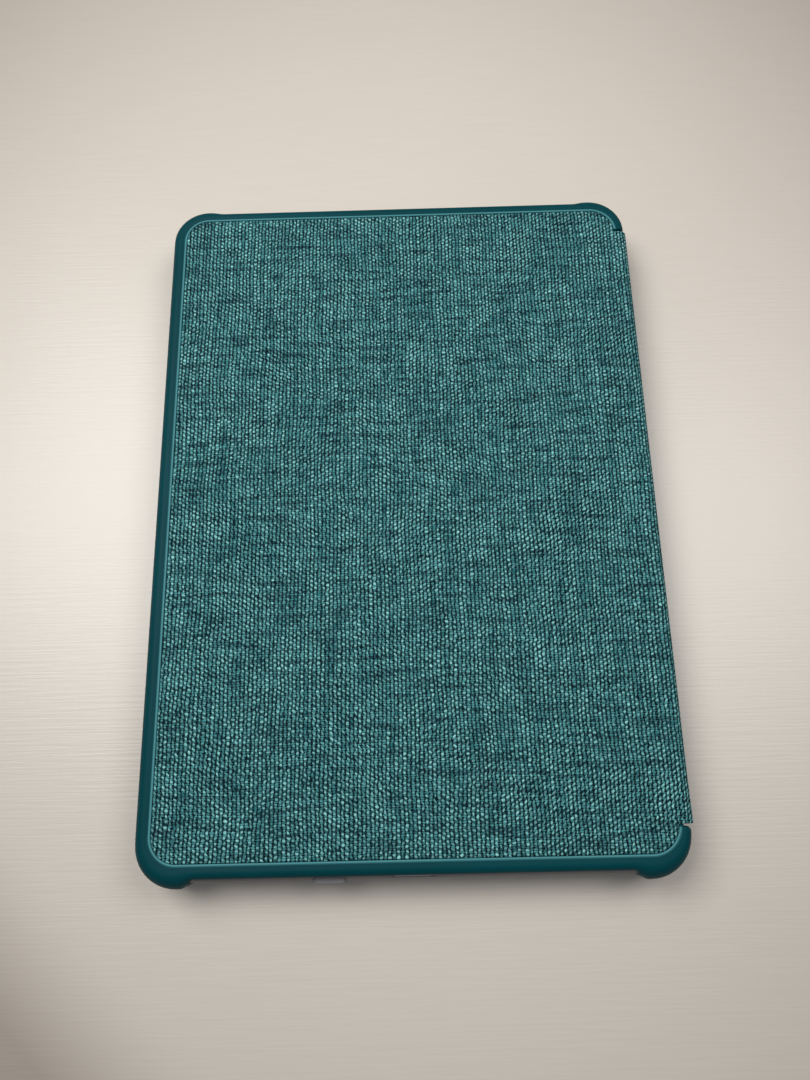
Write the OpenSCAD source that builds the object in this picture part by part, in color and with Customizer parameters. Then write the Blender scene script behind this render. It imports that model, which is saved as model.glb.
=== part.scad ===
// E-reader in a closed folio cover, lying face down: the cover's flap is underneath, the
// reader's screen faces the flap, and the tray's fabric back faces up.
// +X points to the spine, +Y to the reader's top edge, +Z up. The origin is at the centre
// of the bounding box's bottom face.

/* [Reader] */
// Width of the reader, across the screen
reader_w = 108.6; // [106:0.1:120]
// Length of the reader, from its port edge to its top edge
reader_l = 157.8; // [154:0.1:170]
// Thickness of the reader
reader_t = 8; // [7.9:0.1:9]
// Plan radius of the reader's corners
reader_r = 7.5; // [6:0.5:8]
// Radius of the reader's rounded back edge
reader_edge_r = 3; // [2.6:0.1:3.2]
// Thickness of the housing's side walls
housing_wall = 1.2; // [1:0.1:1.4]
// Thickness of the housing's back
housing_back = 1; // [0.8:0.1:1.1]
// Thickness of the front bezel, which stands proud of the screen
bezel_t = 1; // [0.8:0.05:1.1]
// Width of the screen's active area
screen_w = 90.6; // [84:0.1:91]
// Length of the screen's active area
screen_l = 122.4; // [110:0.1:123]
// Width of the bezel at the reader's top edge
top_bezel = 12.2; // [12:0.1:14]

/* [Port and power button] */
// Height of the port and the button above the reader's front face
port_h = 5.3; // [5.3:0.05:5.4]
// Width of the power button
button_w = 7; // [6:0.1:8]
// Height of the power button
button_h = 2.2; // [1.8:0.1:2.3]
// How far the power button stands out of the bottom edge
button_proud = 0.7; // [0.4:0.1:0.9]
// Distance from the reader's centre line to the power button
button_off = 16.9; // [15:0.1:20]
// Travel of the power button
button_travel = 0.4; // [0.2:0.05:0.4]

/* [Cover] */
// Thickness of the woven outer fabric
fabric_t = 0.6; // [0.5:0.05:0.7]
// Thickness of the board inside the flap
board_t = 1.3; // [1.3:0.1:2]
// Thickness of the soft lining
lining_t = 0.5; // [0.4:0.05:0.6]
// Thickness of the tray's side walls
tray_wall = 1.9; // [1.5:0.1:2.2]
// Thickness of the tray's corner grips at the top and bottom edges
grip_wall = 1; // [0.9:0.05:1.8]
// Thickness of the tray's back plate
plate_t = 1.6; // [1.4:0.1:1.8]
// Distance that the reader stands out beyond the back plate at the top and bottom edges
plate_short = 0.55; // [0.4:0.05:1.1]
// Outer plan radius of the tray's corners
tray_r = 8.6; // [8:0.1:10]
// Plan width of the rim beside the back fabric at the two sides
side_rim = 3.6; // [3.5:0.1:5]
// Plan width of the rim beside the back fabric at the top edge
top_rim = 2.8; // [2.4:0.1:4]
// Plan width of the rim beside the back fabric at the bottom edge
bottom_rim = 3.3; // [2.4:0.1:4]
// Distance that the spine stops short of the back plate's top and bottom edges
spine_cut = 8.9; // [8.6:0.1:14]
// Length of each corner grip along the top and bottom edges
grip_len = 11.5; // [11:0.1:20]
// Thickness of the spine, with its fabric, stiffener and lining
spine_t = 2; // [1.8:0.1:2.2]

/* [Hidden] */
$fn = 48;
eps = 0.01;
slab_t = 0.05;             // thickness of the slabs that a rounded form is wrapped round
fit = 0.1;                 // clearance between the reader and the tray
free = 0.2;                // clearance between the closed flap and the tray's lips
spine_free = 0.4;          // clearance between the spine and the reader's side
lip_t = 0.65;              // thickness of the tray's retaining lips
lip_in = 1;                // reach of the lips over the reader's front
recess = 0.6;              // depth of the fabric's recess in the back plate
back_fabric_t = 0.5;       // thickness of the fabric on the back
flap_t = fabric_t + board_t + lining_t;

// Heights above the table
lip_z = flap_t + free;
face_z = lip_z + lip_t + 0.05;
back_z = face_z + reader_t;
plate_z = back_z + fit;
top_z = plate_z + plate_t;
recess_z = top_z - recess;

// Plan positions
total_w = tray_wall + fit + reader_w + spine_free + spine_t;
left_x = -total_w / 2;
spine_x = total_w / 2;
reader_x = left_x + tray_wall + fit + reader_w / 2;
grip_x = reader_x + reader_w / 2 + fit + tray_wall;
hinge_edge_x = spine_x - spine_t - 0.3;
plate_y = reader_l / 2 - plate_short;
grip_y = reader_l / 2 + fit + grip_wall;
spine_y = plate_y - spine_cut;
side_x = reader_w / 2;
end_y = reader_l / 2;

// Fold lines of the spine, which run along Y
fold_x = spine_x - spine_t / 2;
lower_fold_z = 1.2;
upper_fold_z = top_z - 1;

// Stack inside the reader, heights above its front face
film_t = 0.3;
guide_t = 0.5;
panel_t = 1;
chassis_t = 0.9;
film_z = face_z + bezel_t;
guide_z = film_z + film_t;
panel_z = guide_z + guide_t;
chassis_z = panel_z + panel_t;
deck_z = chassis_z + chassis_t;
inner_z = back_z - housing_back;
board_gap = 0.7;
pcb_t = 0.7;
pcb_z = deck_z + board_gap;
chip_z = pcb_z + pcb_t;
port_z = face_z + port_h;
screen_y = end_y - top_bezel - screen_l / 2;
screen_end = screen_y - screen_l / 2;
pcb_w = 92;
pcb_l = 44;
pcb_y0 = -end_y + 3.1;
pcb_y1 = pcb_y0 + pcb_l;
button_x = -button_off;
battery_w = 58;
battery_l = 72;
battery_y0 = pcb_y1 + 6;
tape_t = 0.15;
screw_r = 0.7;
frame_screw_x = side_x - 4.5;
frame_screw_ys = [-66, -22, 22, 66];
board_screw_x = pcb_w / 2 - 3;
board_screws_xy = [for (x = [-board_screw_x, board_screw_x], y = [pcb_y0 + 4, pcb_y1 - 4]) [x, y]];
magnet_y = 44;
magnet_l = 16;
wake_xy = [-36, -48];
touch_flex_x = 30;

// ---- Shared shapes ----

// Rectangle from one corner to the other, with four round corners
module round_rect(x0, y0, x1, y1, r) {
    translate([x0 + r, y0]) square([x1 - x0 - 2 * r, y1 - y0]);
    translate([x0, y0 + r]) square([x1 - x0, y1 - y0 - 2 * r]);
    for (x = [x0 + r, x1 - r], y = [y0 + r, y1 - r]) translate([x, y]) circle(r);
}

// Flat plate with round corners between two heights
module plate(x0, y0, x1, y1, r, z0, z1) {
    translate([0, 0, z0]) linear_extrude(z1 - z0) round_rect(x0, y0, x1, y1, r);
}

// Plate that follows the reader's outline, moved inwards by d
module reader_plate(d, z0, z1) {
    plate(-side_x + d, -end_y + d, side_x - d, end_y - d, max(reader_r - d, 1), z0, z1);
}

// Ring that follows the reader's outline between two distances from its edge
module reader_ring(d0, d1, z0, z1) {
    difference() {
        reader_plate(d0, z0, z1);
        reader_plate(d1, z0 - 1, z1 + 1);
    }
}

// Box between two corners
module block(a, b) {
    translate(a) cube(b - a);
}

// Bar with round ends across X, running along Y, for the port and the button
module slot_bar(x, z, w, h, y0, y1) {
    translate([x, y0, z]) rotate([-90, 0, 0]) linear_extrude(y1 - y0) {
        square([w - h, h], center = true);
        for (s = [-1, 1]) translate([s * (w - h) / 2, 0]) circle(h / 2);
    }
}

// Screw that stands along Z with its head at one end; dir is +1 for a head on top
module screw(x, y, seat, len, dir) {
    head_h = 0.55;
    translate([x, y, dir > 0 ? seat - len : seat]) cylinder(r = screw_r, h = len);
    translate([x, y, dir > 0 ? seat : seat - head_h]) cylinder(r = 1.25, h = head_h);
}

module at_reader() {
    translate([reader_x, 0, 0]) children();
}

// ---- Cover: the flap, which lies on the table ----

flap_x0 = left_x + 0.7;
flap_y = grip_y - 0.8;
flap_r = 9;
flap_hem = 0.6;

module flap_outline(d, z0, z1) {
    plate(flap_x0 + d, -flap_y + d, hinge_edge_x - d, flap_y - d, flap_r - d, z0, z1);
}

// Woven fabric: the flap's outer face with its turned-up edge, and the strip to the fold
module flap_fabric() color("teal") {
    difference() {
        flap_outline(0, 0, fabric_t + board_t);
        flap_outline(flap_hem, fabric_t, flap_t);
    }
    block([hinge_edge_x - flap_r, -spine_y, 0], [fold_x, spine_y, fabric_t]);
}

module magnet_bars(x, w, z0, z1) {
    for (s = [-1, 1]) {
        block([x - w / 2, s * magnet_y - magnet_l / 2, z0], [x + w / 2, s * magnet_y + magnet_l / 2, z1]);
    }
}

flap_magnet_x = reader_x - side_x + 4.6;

module flap_board() color("dimgray") difference() {
    flap_outline(flap_hem, fabric_t, fabric_t + board_t);
    magnet_bars(flap_magnet_x, 4.1, fabric_t - 1, flap_t);
    at_reader() translate([wake_xy[0], wake_xy[1], fabric_t - 1]) cylinder(r = 4.05, h = flap_t);
}

module flap_lining() color("gray") {
    flap_outline(0.8, fabric_t + board_t, flap_t);
}

module flap_magnets() color("silver") {
    magnet_bars(flap_magnet_x, 4, fabric_t, fabric_t + board_t - 0.1);
}

module wake_magnet() color("silver") {
    at_reader() translate([wake_xy[0], wake_xy[1], fabric_t]) cylinder(r = 4, h = board_t - 0.1);
}

// ---- Cover: the spine, between its two folds ----

module spine_layer(x0, x1, z0, z1) {
    block([x0, -spine_y, z0], [x1, spine_y, z1]);
}

module spine_fabric() color("teal") {
    spine_layer(spine_x - fabric_t, spine_x, lower_fold_z + 0.5, upper_fold_z - 0.4);
}

module spine_stiffener() color("dimgray") {
    spine_layer(spine_x - spine_t + lining_t, spine_x - fabric_t, lower_fold_z + 1, upper_fold_z - 1);
}

module spine_lining() color("gray") {
    spine_layer(spine_x - spine_t, spine_x - spine_t + lining_t, lower_fold_z + 0.9, upper_fold_z - 0.9);
}

// ---- Cover: the tray that holds the reader ----

// Solid outer form of the tray, with its top edge rounded in three steps
module tray_form() {
    r = 2.5;
    turns = [0, 30, 60, 90];
    steps = concat([[0, lip_z + slab_t]], [for (a = turns) [r - r * cos(a), top_z - r + r * sin(a)]]);
    hull() for (s = steps) {
        plate(left_x + s[0], -grip_y + s[0], grip_x - s[0], grip_y - s[0], tray_r - s[0], s[1] - slab_t, s[1], $fn = 32);
    }
}

// Cut beyond the plate's edge between the two grips of one end, with slanted sides
module end_cut() {
    out = 5;
    x0 = left_x + grip_len;
    x1 = grip_x - grip_len;
    k = 1.2;
    translate([0, 0, lip_z - 1]) linear_extrude(top_z) polygon([
        [x0, plate_y], [x1, plate_y], [x1 + k * out, plate_y + out], [x0 - k * out, plate_y + out]]);
}

// Area of the back fabric: a rounded panel that runs out to the spine
module back_panel(gap, z0, z1) {
    px0 = left_x + side_rim + gap;
    px1 = grip_x - side_rim - gap;
    plate(px0, -plate_y + bottom_rim + gap, px1, plate_y - top_rim - gap, 4.5 - gap, z0, z1);
    block([0, -spine_y - 0.3 + gap, z0], [hinge_edge_x, spine_y + 0.3 - gap, z1]);
}

// Polypropylene tray: back plate, fore-edge wall and four corner grips with lips
module tray_shell() color([0.02, 0.27, 0.31]) {
    difference() {
        tray_form();
        at_reader() reader_plate(-fit, face_z - 0.05, plate_z);
        at_reader() reader_plate(lip_in, lip_z - 1, face_z);
        block([left_x + grip_len, -grip_y - 1, lip_z - 1], [grip_x - grip_len, grip_y + 1, face_z]);
        block([0, -spine_y - 0.5, lip_z - 1], [spine_x + 1, spine_y + 0.5, face_z]);
        block([hinge_edge_x, -spine_y - 0.5, 0], [spine_x + 1, spine_y + 0.5, top_z + 1]);
        end_cut();
        mirror([0, 1, 0]) end_cut();
        back_panel(0, recess_z, top_z + 1);
    }
}

// Woven fabric on the back, and the strip that runs to the upper fold
module back_fabric() color("teal") {
    back_panel(0.15, recess_z, recess_z + back_fabric_t);
    block([0, -spine_y, recess_z], [fold_x, spine_y, recess_z + back_fabric_t]);
}

// ---- Reader: housing and front ----

seam_z = film_z + 0.03;

// Outer form of the housing, with its back edge rounded in steps
module housing_form() {
    r = reader_edge_r;
    steps = concat([[0, seam_z + slab_t]], [for (a = [0, 25, 45, 65, 90]) [r - r * cos(a), back_z - r + r * sin(a)]]);
    hull() for (s = steps) reader_plate(s[0], s[1] - slab_t, s[1], $fn = 32);
}

module housing_bosses() {
    for (s = [-1, 1], y = frame_screw_ys) {
        translate([s * frame_screw_x, y, deck_z]) cylinder(r = 2, h = inner_z - deck_z + eps);
    }
}

port_slot_h = 3.6;

module reader_housing() color([0.16, 0.16, 0.17]) at_reader() {
    inner_y = -end_y + housing_wall + 0.5;
    difference() {
        union() {
            difference() {
                housing_form();
                reader_plate(housing_wall, face_z - 1, back_z - 1.2);
                reader_plate(housing_wall + 1.2, face_z - 1, inner_z);
            }
            housing_bosses();
        }
        for (s = [-1, 1], y = frame_screw_ys) {
            translate([s * frame_screw_x, y, deck_z - 1]) cylinder(r = screw_r + 0.03, h = 3.6);
        }
        slot_bar(0, port_z, 9.2, port_slot_h, -end_y - 1, inner_y + 1);
        slot_bar(button_x, port_z, button_w + 0.6, port_slot_h, -end_y - 1, -end_y + 0.7);
        slot_bar(button_x, port_z, button_w + 0.4, button_h + 0.4, -end_y - 1, inner_y);
        translate([button_x + 6.5, -end_y - 1, port_z]) rotate([-90, 0, 0]) cylinder(r = 0.5, h = 3);
    }
}

// Rectangle over the screen's active area, grown by d
module over_screen(d, z0, z1) {
    block([-screen_w / 2 - d, screen_end - d, z0], [screen_w / 2 + d, screen_end + screen_l + d, z1]);
}

// Front frame round the screen, with a skirt that goes inside the housing's wall
module front_bezel() color([0.09, 0.09, 0.1]) at_reader() {
    difference() {
        reader_plate(0, face_z, film_z);
        over_screen(0.6, face_z - 1, film_z + 1);
    }
    reader_ring(housing_wall + 0.1, housing_wall + 0.9, film_z, panel_z);
}

module screen_gasket() color("black") at_reader() {
    difference() {
        over_screen(3.8, film_z, guide_z);
        over_screen(2.6, film_z - 1, guide_z + 1);
        block([touch_flex_x - 5.5, screen_end - 5, film_z - 1], [touch_flex_x + 5.5, screen_end, guide_z + 1]);
    }
}

module touch_sensor() color("lightsteelblue") at_reader() {
    over_screen(2.5, film_z, guide_z);
}

// Ribbon that goes round the edge of the chassis, from the front stack to the board
module ribbon(x, w, y, z0, len0) {
    t = 0.15;
    block([x - w / 2, y, z0], [x + w / 2, y + len0, z0 + t]);
    block([x - w / 2, y, z0], [x + w / 2, y + t, pcb_z]);
    block([x - w / 2, y, pcb_z - t], [x + w / 2, y + 4, pcb_z]);
}

ribbon_y = screen_end - 7;

module touch_flex() color("goldenrod") at_reader() {
    ribbon(touch_flex_x, 9, ribbon_y, film_z + 0.1, 4.4);
}

module display_flex() color("goldenrod") at_reader() {
    ribbon(0, 26, ribbon_y, panel_z + 0.1, screen_end - 2 - ribbon_y);
}

module light_guide() color("whitesmoke") at_reader() {
    over_screen(2.5, guide_z, panel_z);
}

// Row of front lights on a strip at the chin, which shines into the light guide's edge
module led_strip() color("khaki") at_reader() {
    lights = 4;
    pitch = screen_w / lights;
    block([-screen_w / 2, screen_end - 4.5, guide_z], [screen_w / 2, screen_end - 4.2, guide_z + 0.45]);
    for (i = [0 : lights - 1]) {
        x = -screen_w / 2 + pitch * (i + 0.5);
        block([x - 1, screen_end - 4.2, guide_z], [x + 1, screen_end - 2.55, guide_z + 0.45]);
    }
}

module display_panel() color([0.82, 0.82, 0.79]) at_reader() {
    over_screen(2, panel_z, chassis_z);
}

// Magnesium chassis between the display and the electronics
module mid_frame() color("slategray") at_reader() {
    difference() {
        union() {
            reader_plate(housing_wall + 0.1, chassis_z, deck_z);
            reader_ring(housing_wall + 1, housing_wall + 2, film_z, chassis_z);
            for (p = board_screws_xy) translate([p[0], p[1], deck_z - eps]) cylinder(r = 1.8, h = board_gap + eps);
        }
        for (s = [-1, 1], y = frame_screw_ys) {
            translate([s * frame_screw_x, y, 0]) cylinder(r = screw_r + 0.1, h = top_z);
        }
        for (p = board_screws_xy) translate([p[0], p[1], chassis_z + 0.3]) cylinder(r = screw_r + 0.03, h = 5);
        block([-13.5, ribbon_y - 0.8, 0], [13.5, ribbon_y + 0.6, top_z]);
        block([touch_flex_x - 5, ribbon_y - 0.8, 0], [touch_flex_x + 5, ribbon_y + 0.6, top_z]);
    }
}

module catch_magnets() color("silver") at_reader() {
    magnet_bars(-side_x + 4.6, 3.6, deck_z, deck_z + 2);
}

// ---- Reader: power and electronics ----

module battery() color("lightgray") at_reader() {
    plate(-battery_w / 2, battery_y0, battery_w / 2, battery_y0 + battery_l, 1.5, deck_z + tape_t, deck_z + tape_t + 3);
}

module battery_tape() color("white") at_reader() {
    for (s = [-1, 1]) {
        block([s * 18 - 7, battery_y0 + 6, deck_z], [s * 18 + 7, battery_y0 + battery_l - 6, deck_z + tape_t]);
    }
}

// Three short wires and the plug that sits on the board
module battery_lead() color("firebrick") at_reader() {
    plug_y = pcb_y1 - 4.5;
    block([-4, plug_y, chip_z], [4, plug_y + 3, chip_z + 1.1]);
    for (x = [-2, 0, 2]) {
        translate([x, plug_y + 3, chip_z + 0.55]) rotate([-90, 0, 0]) cylinder(r = 0.45, h = battery_y0 - plug_y - 3);
    }
}

module main_board() color("darkgreen") at_reader() {
    difference() {
        block([-pcb_w / 2, pcb_y0, pcb_z], [pcb_w / 2, pcb_y1, chip_z]);
        block([-4.7, pcb_y0 - 1, 0], [4.7, pcb_y0 + 4.6, top_z]);
        for (p = board_screws_xy) translate([p[0], p[1], 0]) cylinder(r = screw_r + 0.1, h = top_z);
        for (x = [-27, 27]) block([x - 2, pcb_y1 - 2.5, 0], [x + 2, pcb_y1 + 1, top_z]);
    }
}

module chip(x, y, w, l, h) {
    at_reader() block([x - w / 2, y - l / 2, chip_z], [x + w / 2, y + l / 2, chip_z + h]);
}

module processor() color("black") chip(-16, pcb_y1 - 16, 13, 13, 1.1);
module memory_chip() color("black") chip(0, pcb_y1 - 16, 11.5, 13, 0.9);
module power_chip() color("black") chip(13, pcb_y1 - 18, 6, 6, 0.8);

// Stamped cover over the radio parts, open towards the board
module radio_shield() color("silver") at_reader() {
    x0 = 21;
    y0 = pcb_y0 + 16;
    difference() {
        block([x0, y0, chip_z], [x0 + 18, y0 + 14, chip_z + 1.5]);
        block([x0 + 0.2, y0 + 0.2, chip_z - 1], [x0 + 17.8, y0 + 13.8, chip_z + 1.3]);
    }
}

module radio_antenna() color("goldenrod") at_reader() {
    block([22, pcb_y0 + 1.5, chip_z], [38, pcb_y0 + 5.5, chip_z + 0.2]);
    block([26, pcb_y0 + 5.5, chip_z], [27, pcb_y0 + 15.9, chip_z + 0.2]);
}

module hall_sensor() color("black") chip(wake_xy[0], wake_xy[1], 3, 3, 0.9);

// Port: a round-ended metal shell with a closed back and a contact tongue
module usb_port() color("silver") at_reader() {
    y0 = -end_y + 0.5;
    y1 = pcb_y0 + 4.5;
    difference() {
        slot_bar(0, port_z, 8.94, 3.1, y0, y1);
        slot_bar(0, port_z, 8.34, 2.56, y0 - 1, y1 - 1);
    }
    block([-3.35, y0 + 0.9, port_z - 0.35], [3.35, y1 - 1 + eps, port_z + 0.35]);
}

// Side-acting switch behind the power button
switch_y = -end_y + 2.8;

module power_switch() color("gainsboro") at_reader() {
    block([button_x - 3, switch_y + 0.4, chip_z], [button_x + 3, switch_y + 2.8, chip_z + 1.5]);
    block([button_x - 1.2, switch_y, chip_z + 0.3], [button_x + 1.2, switch_y + 0.4 + eps, chip_z + 1.2]);
}

module status_light_pipe() color("white") at_reader() {
    translate([button_x + 6.5, -end_y + 0.25, port_z]) rotate([-90, 0, 0]) cylinder(r = 0.45, h = 2.6);
}

module board_screws() color("silver") at_reader() {
    for (p = board_screws_xy) screw(p[0], p[1], chip_z, chip_z - chassis_z - 0.4, 1);
}

module frame_screws() color("silver") at_reader() {
    for (s = [-1, 1], y = frame_screw_ys) screw(s * frame_screw_x, y, chassis_z, 3.2, -1);
}

// ---- Reader: power button ----

flange_y = -end_y + housing_wall + 0.1;

module power_button() color([0.2, 0.2, 0.21]) at_reader() {
    slot_bar(button_x, port_z, button_w, button_h, -end_y - button_proud, flange_y + eps);
    slot_bar(button_x, port_z, button_w + 1.8, button_h + 0.7, flange_y, flange_y + 0.6);
    stem_z = chip_z + 0.3;
    block([button_x - 1, flange_y, stem_z], [button_x + 1, switch_y - button_travel - 0.05, stem_z + 0.9]);
}

flap_fabric();
flap_board();
flap_lining();
flap_magnets();
wake_magnet();
spine_fabric();
spine_stiffener();
spine_lining();
tray_shell();
back_fabric();
reader_housing();
front_bezel();
screen_gasket();
touch_sensor();
touch_flex();
light_guide();
led_strip();
display_panel();
display_flex();
mid_frame();
catch_magnets();
battery();
battery_tape();
battery_lead();
main_board();
processor();
memory_chip();
power_chip();
radio_shield();
radio_antenna();
hall_sensor();
usb_port();
power_switch();
status_light_pipe();
board_screws();
frame_screws();
power_button();
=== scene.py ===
"""E-reader in a closed folio cover, lying face down on a pale table.

Lengths in this file are millimetres unless a name or comment says otherwise; the mesh
functions turn them into metres. Shader patterns work in metres.
"""

import math

import bmesh
import bpy
import numpy as np
from mathutils import Matrix, Vector


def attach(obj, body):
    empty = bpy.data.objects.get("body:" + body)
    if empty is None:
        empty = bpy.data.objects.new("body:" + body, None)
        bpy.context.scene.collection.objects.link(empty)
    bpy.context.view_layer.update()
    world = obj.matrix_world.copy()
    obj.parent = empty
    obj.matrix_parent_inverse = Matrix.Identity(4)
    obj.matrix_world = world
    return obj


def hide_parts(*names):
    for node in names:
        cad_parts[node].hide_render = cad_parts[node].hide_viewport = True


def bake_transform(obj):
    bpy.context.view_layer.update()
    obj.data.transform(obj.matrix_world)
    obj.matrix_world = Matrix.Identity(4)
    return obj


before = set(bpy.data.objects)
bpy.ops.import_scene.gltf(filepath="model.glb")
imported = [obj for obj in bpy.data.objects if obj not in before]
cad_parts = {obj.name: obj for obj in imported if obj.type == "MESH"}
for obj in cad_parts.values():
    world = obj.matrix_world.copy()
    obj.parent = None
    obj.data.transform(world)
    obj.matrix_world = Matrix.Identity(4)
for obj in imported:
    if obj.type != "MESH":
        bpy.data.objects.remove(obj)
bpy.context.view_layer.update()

MM = 0.001

# ---- Sizes ----
# As in the part's source, with small corrections to the tray's outline and to the recess.

TRAY_X = (-56.5, 56.1)      # outer faces of the tray's grips
TRAY_Y = (-80.0, 79.65)      # and their ends
TRAY_R = 8.6
TRAY_BOTTOM = 2.6           # lower face of the lips
TRAY_TOP = 13.0
PLATE_Y = (-78.05, 78.35)   # edges of the back plate between the grips, lower and upper
PLATE_UNDER = 11.4
RECESS_Z = 12.4             # floor of the fabric's recess
BACK_Z = RECESS_Z + 0.5     # outer face of the back fabric
BACK_GAP = 0.09             # between the back fabric and the bead
HINGE_X = 54.2              # edge of the plate beside the spine
FOLD_X = HINGE_X + 0.05     # where the cloth starts to bend round a fold
SPINE_X = 56.5
SPINE_Y = 69.45             # half length of the spine
CLOTH_T = 0.45
READER_X = -0.2
READER_HALF = (54.3, 78.9)
READER_R = 7.5
FACE_Z = 3.3                # the reader's front face
FILM_Z = 4.3                # upper sides of the screen's layers, seen from the front
GUIDE_Z = 4.6
PANEL_Z = 5.1
SEAM_Z = 4.33               # joint between bezel and housing
READER_BACK = 11.3
READER_EDGE_R = 3.0
PORT_Z = 8.6
SCREEN = (-45.5, 45.1, -55.7, 66.7)
BUTTON_X = READER_X - 16.9
FLAP = (-55.8, 54.2, -79.2, 79.2)
FLAP_R = 9.0
HEM_R = 1.0                 # radius of the flap's turned edge
PANEL = (-52.9, 53.3, -75.05, 75.55)   # recess for the back fabric
PANEL_R = (5.4, 5.8)        # plan radius of its corners, left and spine side
RIM_END_Y = 70.05           # the spine-side corners of the rim end here
FOLD_R = 2.25               # outer radius of the cloth round each fold
SPINE_MID = 6.5             # height where the two cloth pieces meet
CORNER_POINTS = 14          # on each round corner of the tray's outlines


# ---- Meshes from arrays ----

def grid_faces(rows, columns):
    """Four corner numbers of every cell in a rows by columns grid of points."""
    number = np.arange(rows * columns).reshape(rows, columns)
    corners = [number[:-1, :-1], number[1:, :-1], number[1:, 1:], number[:-1, 1:]]
    return np.stack(corners, -1).reshape(-1, 4)


def make_piece(name, points, closed=False, caps=False, weave=None, outward=True, sharp=35.0):
    """Piece from a grid of points, rows by columns by 3.

    closed joins the last row to the first; caps fills the first and the last column of a
    closed grid with one flat face each; weave is a rows by columns by 2 array of
    distances over the cloth, kept as a UV map in metres.
    """
    rows, columns = points.shape[:2]
    quads = grid_faces(rows + 1, columns) if closed else grid_faces(rows, columns)
    corners = quads.copy()
    if closed:
        quads = quads % (rows * columns)
    faces = quads.tolist()
    if caps:
        ring = np.arange(rows) * columns
        faces += [ring.tolist(), (ring + columns - 1)[::-1].tolist()]
    mesh = bpy.data.meshes.new(name)
    mesh.from_pydata((points.reshape(-1, 3) * MM).tolist(), [], faces)
    if weave is not None:
        layer = mesh.uv_layers.new(name="weave")
        flat = (weave.reshape(-1, 2) * MM)[corners.ravel() % (rows * columns)]
        layer.data.foreach_set("uv", flat.astype(np.float32).ravel())
    work = bmesh.new()
    work.from_mesh(mesh)
    bmesh.ops.remove_doubles(work, verts=work.verts, dist=2e-6)
    bmesh.ops.dissolve_degenerate(work, edges=work.edges, dist=1e-6)
    if outward:
        bmesh.ops.recalc_face_normals(work, faces=work.faces)
    work.to_mesh(mesh)
    work.free()
    mesh.polygons.foreach_set("use_smooth", [True] * len(mesh.polygons))
    mesh.set_sharp_from_angle(angle=math.radians(sharp))
    piece = bpy.data.objects.new(name, mesh)
    bpy.context.scene.collection.objects.link(piece)
    return piece


def ease(t):
    """Smooth step from 0 at t=0 to 1 at t=1."""
    t = np.clip(t, 0.0, 1.0)
    return t * t * (3 - 2 * t)


def ring(box, radius, along_x, along_y, turn=CORNER_POINTS):
    """Closed rounded rectangle, counter-clockwise from the left end of its lower side.

    along_x and along_y are the stations on the straight sides; each is held within its
    straight side, so rings of other sizes and radii have matching points. Two radii are
    the left and the right corners'.
    """
    x0, x1, y0, y1 = box
    left, right = (max(v, 0.001) for v in np.broadcast_to(radius, 2))
    xs = np.clip(along_x, x0 + left, x1 - right)
    ys = np.clip(along_y, y0 + right, y1 - right)
    back = np.clip(along_y, y0 + left, y1 - left)
    angle = np.linspace(0, math.pi / 2, turn)
    c, s = np.cos(angle), np.sin(angle)
    parts = [
        np.stack([xs, np.full_like(xs, y0)], -1),
        np.stack([x1 - right + right * s, y0 + right - right * c], -1),
        np.stack([np.full_like(ys, x1), ys], -1),
        np.stack([x1 - right + right * c, y1 - right + right * s], -1),
        np.stack([xs[::-1], np.full_like(xs, y1)], -1),
        np.stack([x0 + left - left * s, y1 - left + left * c], -1),
        np.stack([np.full_like(back, x0), back[::-1]], -1),
        np.stack([x0 + left - left * c, y0 + left - left * s], -1),
    ]
    return np.concatenate(parts)


def inset(box, d):
    """The box with each side moved inwards by d."""
    return (box[0] + d, box[1] - d, box[2] + d, box[3] - d)


def stack_rings(rings, heights):
    """Grid whose column k is ring k at height k."""
    return np.stack([np.column_stack([r, np.full(len(r), z)]) for r, z in zip(rings, heights)], 1)


# ---- Materials ----

class Wire:
    """A socket in a finish; arithmetic on it adds Math nodes."""

    def __init__(self, finish, socket):
        self.finish, self.socket = finish, socket

    def math(self, operation, *others):
        inputs = {0: self, **{k + 1: v for k, v in enumerate(others)}}
        return self.finish.add("ShaderNodeMath", {"operation": operation}, inputs, 0)

    def __add__(self, other):
        return self.math("ADD", other)

    __radd__ = __add__

    def __sub__(self, other):
        return self.math("SUBTRACT", other)

    def __rsub__(self, other):
        return self.math("MULTIPLY_ADD", -1.0, other)

    def __mul__(self, other):
        return self.math("MULTIPLY", other)

    __rmul__ = __mul__

    def __truediv__(self, other):
        return self.math("DIVIDE", other)

    def clip(self, low=0.0, high=1.0):
        return self.math("MAXIMUM", low).math("MINIMUM", high)

    def step(self, low, high):
        """Smooth rise from 0 where the value is low to 1 where it is high."""
        settings = {"interpolation_type": "SMOOTHSTEP"}
        inputs = {"Value": self, "From Min": low, "From Max": high}
        return self.finish.add("ShaderNodeMapRange", settings, inputs, 0)


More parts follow.
